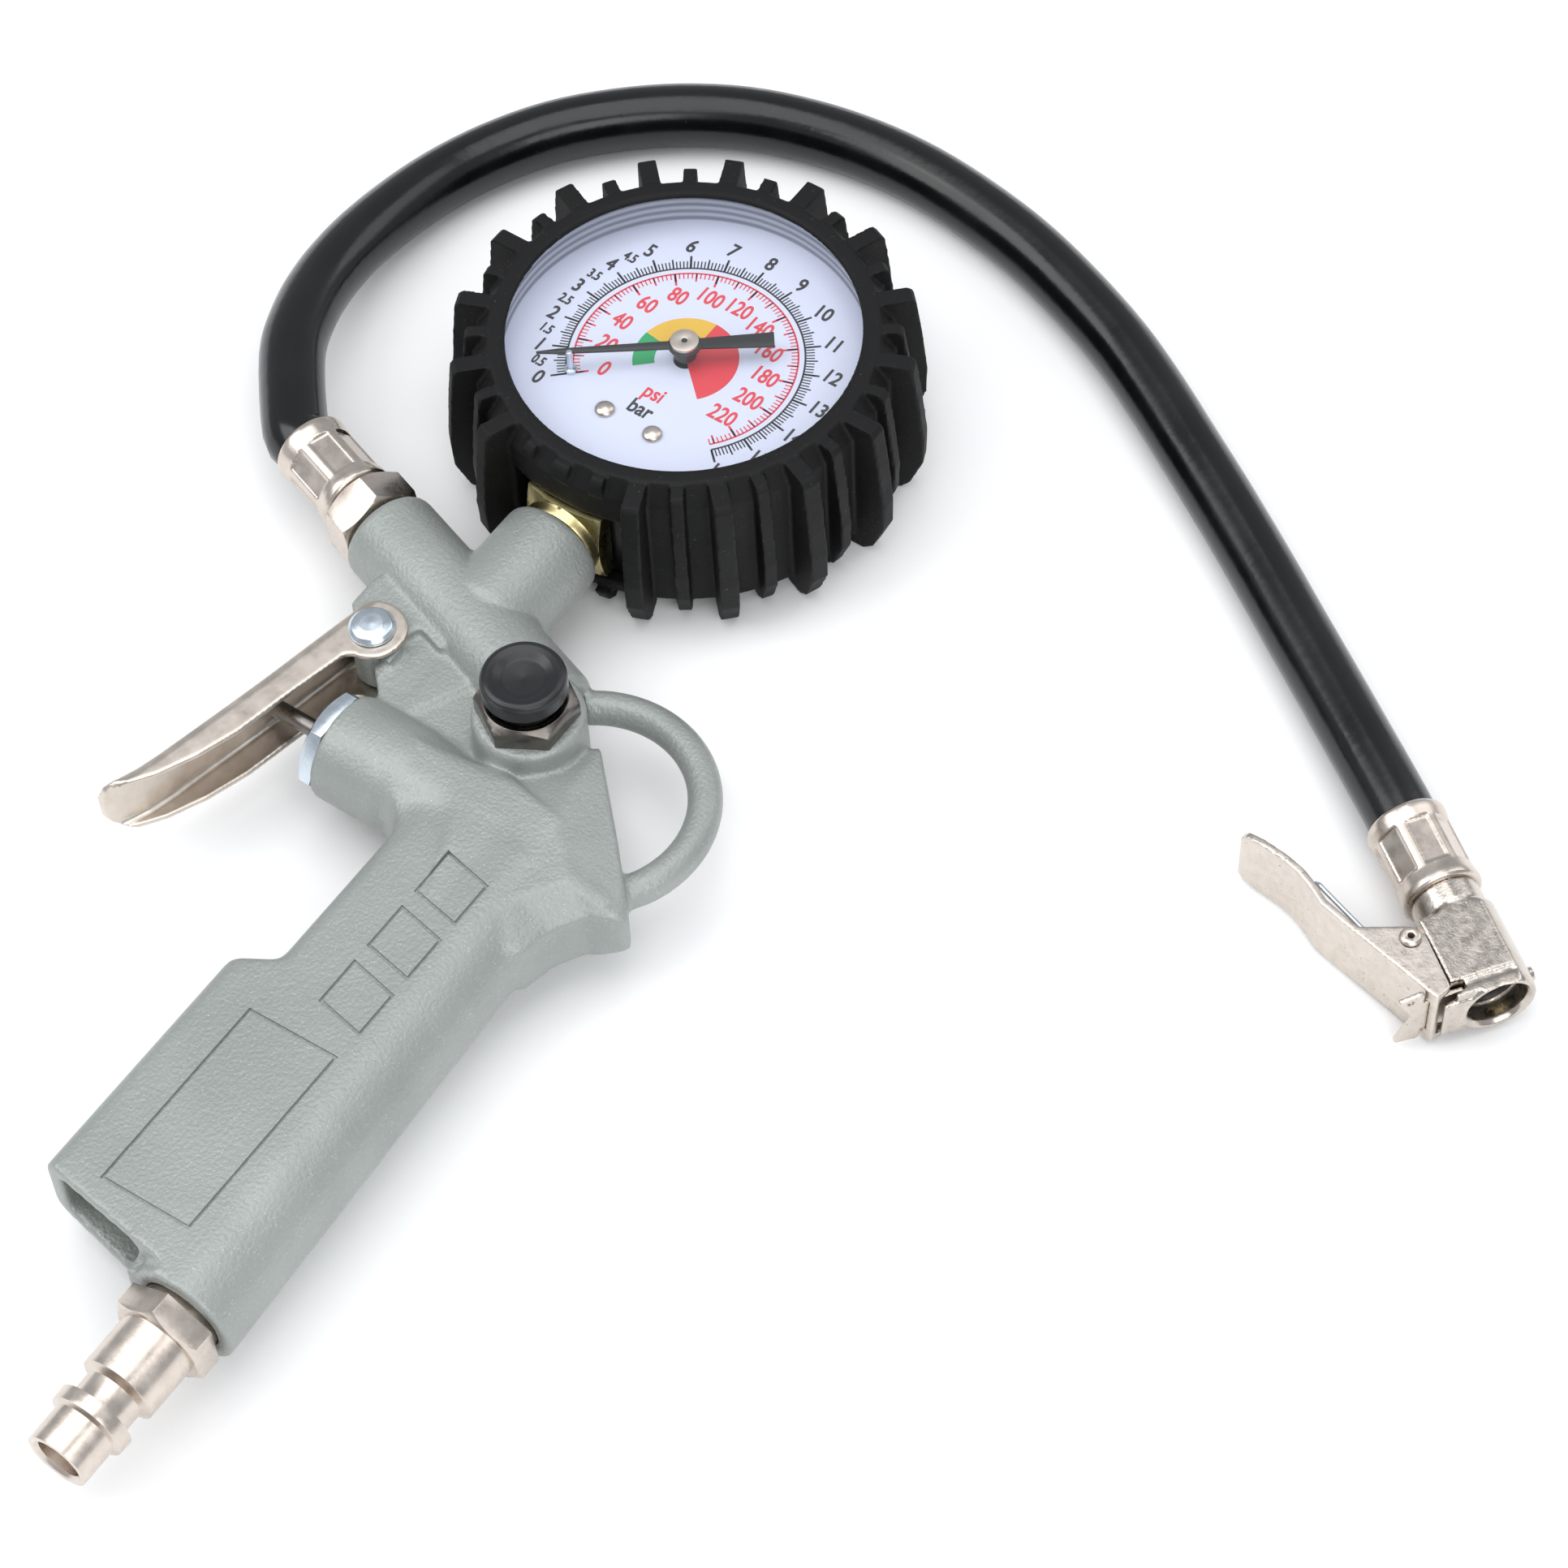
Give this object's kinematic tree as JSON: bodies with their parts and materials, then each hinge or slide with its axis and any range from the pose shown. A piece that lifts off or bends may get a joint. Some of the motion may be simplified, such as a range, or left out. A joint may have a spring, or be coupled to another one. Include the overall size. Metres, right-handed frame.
{
  "type": "portable tire inflator",
  "caption": "Portable tire inflator with a pistol grip, trigger valve, release button, dial gauge in a ribbed rubber boot, and a rubber hose ending in a lever-locked air chuck.",
  "frame": {"origin": "centre of the inlet nipple's tip, on the inlet axis", "axes": "+X from the inlet tip along the grip to the head, +Y from the inlet axis to the trigger, +Z out of the dial"},
  "size_m": [0.273, 0.24, 0.0335],
  "materials": {
    "body_paint": "satin",
    "nickel": "satin",
    "chuck_nickel": "matte",
    "zinc_steel": "satin",
    "dark_nickel": "satin",
    "button_black": "satin",
    "seal_rubber": "matte",
    "hose_rubber": "satin",
    "boot_rubber": "matte",
    "brass": "satin",
    "dial_white": "satin",
    "pointer_black": "satin",
    "window": "clear"
  },
  "bodies": {
    "gun": {"body_casting": "body_paint", "inlet_nipple": "nickel", "nipple_seal": "seal_rubber", "valve_plug": "zinc_steel", "valve_spring": "zinc_steel", "trigger_rivet": "zinc_steel", "release_nut": "dark_nickel", "release_spring": "button_black", "hose_fitting": "nickel", "gun_ferrule": "nickel", "hose": "hose_rubber", "chuck_ferrule": "nickel", "chuck_body": "chuck_nickel", "chuck_seal": "seal_rubber", "core_depressor": "brass", "chuck_rivet": "chuck_nickel", "chuck_spring": "zinc_steel", "gauge_socket": "brass", "gauge_case": "zinc_steel", "gauge_boot": "boot_rubber", "bourdon_tube": "brass", "movement_frame": "brass", "dial_plate": "dial_white", "dial_screws": "zinc_steel", "stop_pin": "zinc_steel", "gauge_window": "window"},
    "trigger": {"trigger_lever": "nickel"},
    "valve": {"valve_stem": "zinc_steel", "valve_poppet": "seal_rubber"},
    "release": {"release_button": "button_black", "release_stem": "zinc_steel"},
    "pointer": {"pointer": "pointer_black", "pinion_shaft": "zinc_steel"},
    "sector": {"sector_gear": "brass"},
    "link": {"tube_link": "zinc_steel"},
    "chuck_lever": {"chuck_lever": "chuck_nickel", "chuck_claw": "chuck_nickel"}
  },
  "joints": [
    {"name": "trigger_pull", "type": "hinge", "parent": "gun", "child": "trigger", "pos_m": [0.1333, 0.0478, 0], "axis": [0, 0, 1], "range_deg": [0, 9], "stiffness_Nm_per_rad": 1, "springref_deg": -5.73},
    {"name": "valve_slide", "type": "slide", "parent": "gun", "child": "valve", "axis": [0, -1, 0], "range_m": [0, 0.0028], "deforming": ["valve_spring"]},
    {"name": "release_press", "type": "slide", "parent": "gun", "child": "release", "axis": [0, 0, -1], "range_m": [0, 0.0018], "stiffness_N_per_m": 1500, "springref_m": -0.002, "deforming": ["release_spring"]},
    {"name": "pointer_turn", "type": "hinge", "parent": "gun", "child": "pointer", "pos_m": [0.2015, 0.0373, 0], "axis": [0, 0, -1], "range_deg": [0, 263], "stiffness_Nm_per_rad": 0.0005, "springref_deg": -11.46},
    {"name": "sector_turn", "type": "hinge", "parent": "gun", "child": "sector", "pos_m": [0.2015, 0.0233, 0], "axis": [0, 0, 1], "range_deg": [0, 37.2]},
    {"name": "link_turn", "type": "hinge", "parent": "sector", "child": "link", "pos_m": [0.2067, 0.0233, 0], "axis": [0, 0, -1], "range_deg": [0, 37.2]},
    {"name": "chuck_press", "type": "hinge", "parent": "gun", "child": "chuck_lever", "pos_m": [0.17633, -0.1106, -0.0065], "axis": [0, 0, -1], "range_deg": [0, 20], "stiffness_Nm_per_rad": 0.15, "springref_deg": -11.46, "deforming": ["chuck_spring"]}
  ],
  "couplings": [
    {"joint": "valve_slide", "follows": "trigger_pull", "m_per_rad": 0.0176},
    {"joint": "sector_turn", "follows": "pointer_turn", "ratio": 0.14},
    {"joint": "link_turn", "follows": "pointer_turn", "ratio": 0.14}
  ]
}
